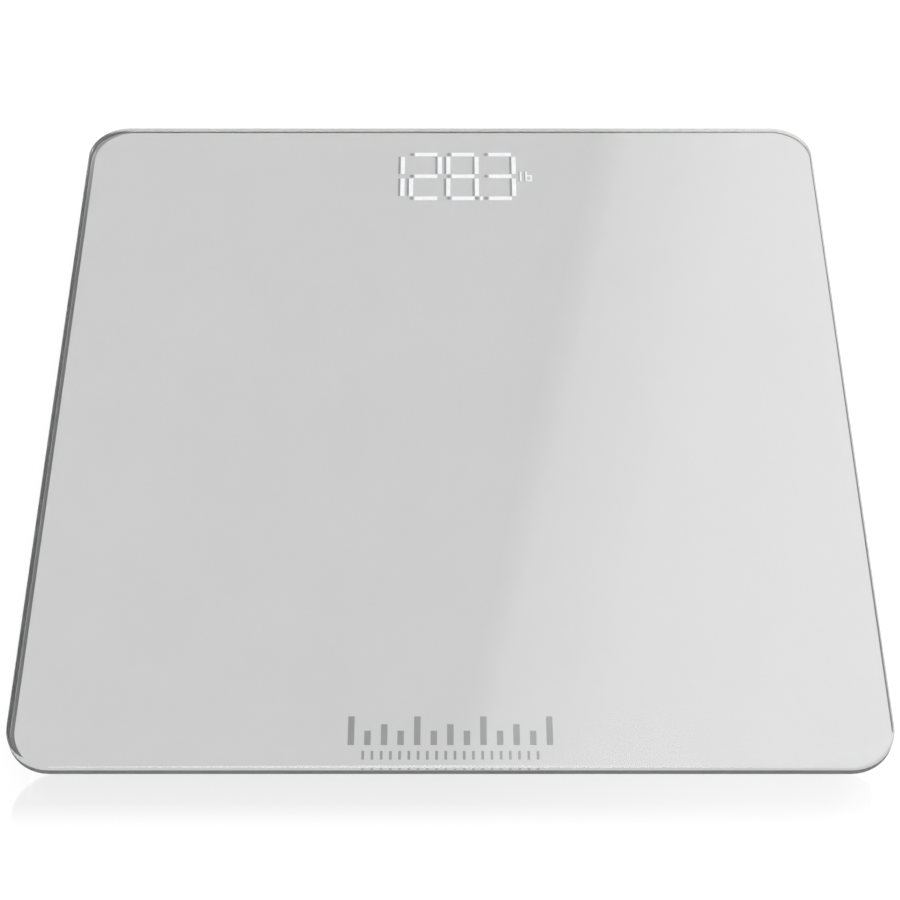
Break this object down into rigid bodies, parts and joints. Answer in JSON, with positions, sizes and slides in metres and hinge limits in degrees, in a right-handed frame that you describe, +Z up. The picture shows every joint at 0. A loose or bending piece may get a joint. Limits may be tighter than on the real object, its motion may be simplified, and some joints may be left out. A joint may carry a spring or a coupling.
{
  "type": "digital bathroom scale",
  "caption": "Square glass platform scale with rounded corners, silver backing, lit seven-segment display at the rear edge and sensing feet under a moulded base.",
  "frame": {"origin": "on the floor under the middle of the platform", "axes": "+Z up, +Y towards the display edge, +X to the right of a person who stands facing the display"},
  "size_m": [0.3, 0.3, 0.025],
  "materials": {
    "platform_glass": "polished",
    "silver_film": "satin",
    "front_print": "matte",
    "foam_tape": "matte",
    "base_plastic": "matte",
    "door_plastic": "matte",
    "label": "satin",
    "foot_rubber": "matte",
    "foot_plastic": "satin",
    "cell_steel": "satin",
    "bracket_plastic": "satin",
    "wire_insulation": "satin",
    "screw_steel": "satin",
    "gauge_foil": "satin",
    "white_sealant": "satin",
    "circuit_board": "satin",
    "display_body": "matte",
    "display_light": "gloss",
    "display_resin": "satin",
    "tinned_metal": "satin",
    "chip_epoxy": "matte",
    "passives_ceramic": "satin",
    "connector_plastic": "satin",
    "switch_body": "satin",
    "button_plastic": "satin",
    "battery_can": "satin",
    "lead_red": "satin",
    "lead_black": "satin"
  },
  "bodies": {
    "base": {"backing_film": "silver_film", "base_housing": "base_plastic", "battery_1": "battery_can", "battery_2": "battery_can", "battery_3": "battery_can", "battery_connector": "connector_plastic", "battery_lead_black": "lead_black", "battery_lead_red": "lead_red", "battery_springs": "tinned_metal", "bonding_tape": "foam_tape", "bracket_adhesive_pads": "foam_tape", "bracket_screws": "screw_steel", "cell_bracket_front_left": "bracket_plastic", "cell_bracket_front_right": "bracket_plastic", "cell_bracket_rear_left": "bracket_plastic", "cell_bracket_rear_right": "bracket_plastic", "contact_links": "tinned_metal", "contact_negative": "tinned_metal", "contact_positive": "tinned_metal", "display_driver_chip": "chip_epoxy", "display_gasket": "foam_tape", "display_housing": "display_body", "display_pins": "tinned_metal", "display_segments_lit": "display_light", "display_segments_unlit": "display_resin", "front_mark": "front_print", "gauge_sealant": "white_sealant", "load_cell_front_left": "cell_steel", "load_cell_front_right": "cell_steel", "load_cell_rear_left": "cell_steel", "load_cell_rear_right": "cell_steel", "main_pcb": "circuit_board", "mcu_chip": "chip_epoxy", "pcb_passives": "passives_ceramic", "pcb_screws": "screw_steel", "platform_glass": "platform_glass", "rating_label": "label", "sensor_connectors": "connector_plastic", "sensor_wires_front_left": "wire_insulation", "sensor_wires_front_right": "wire_insulation", "sensor_wires_rear_left": "wire_insulation", "sensor_wires_rear_right": "wire_insulation", "strain_gauges": "gauge_foil", "tact_switch": "switch_body"},
    "foot_front_left": {"foot_cup_front_left": "foot_plastic", "foot_pad_front_left": "foot_rubber"},
    "foot_front_right": {"foot_cup_front_right": "foot_plastic", "foot_pad_front_right": "foot_rubber"},
    "foot_rear_left": {"foot_cup_rear_left": "foot_plastic", "foot_pad_rear_left": "foot_rubber"},
    "foot_rear_right": {"foot_cup_rear_right": "foot_plastic", "foot_pad_rear_right": "foot_rubber"},
    "unit_button": {"unit_button": "button_plastic", "switch_plunger": "button_plastic"},
    "battery_door": {"battery_door": "door_plastic", "door_latch": "door_plastic"}
  },
  "joints": [
    {"name": "foot_travel_front_left", "type": "slide", "parent": "base", "child": "foot_front_left", "axis": [0, 0, 1], "range_m": [0, 0.0008], "stiffness_N_per_m": 1500, "deforming": ["load_cell_front_left"]},
    {"name": "foot_travel_front_right", "type": "slide", "parent": "base", "child": "foot_front_right", "axis": [0, 0, 1], "range_m": [0, 0.0008], "stiffness_N_per_m": 1500, "deforming": ["load_cell_front_right"]},
    {"name": "foot_travel_rear_left", "type": "slide", "parent": "base", "child": "foot_rear_left", "axis": [0, 0, 1], "range_m": [0, 0.0008], "stiffness_N_per_m": 1500, "deforming": ["load_cell_rear_left"]},
    {"name": "foot_travel_rear_right", "type": "slide", "parent": "base", "child": "foot_rear_right", "axis": [0, 0, 1], "range_m": [0, 0.0008], "stiffness_N_per_m": 1500, "deforming": ["load_cell_rear_right"]},
    {"name": "unit_button_press", "type": "slide", "parent": "base", "child": "unit_button", "axis": [0, 0, 1], "range_m": [0, 0.0005], "stiffness_N_per_m": 3000},
    {"name": "battery_door_tilt", "type": "hinge", "parent": "base", "child": "battery_door", "pos_m": [0, -0.0185, 0.0043], "axis": [-1, 0, 0], "range_deg": [0, 45], "deforming": ["door_latch"]}
  ]
}
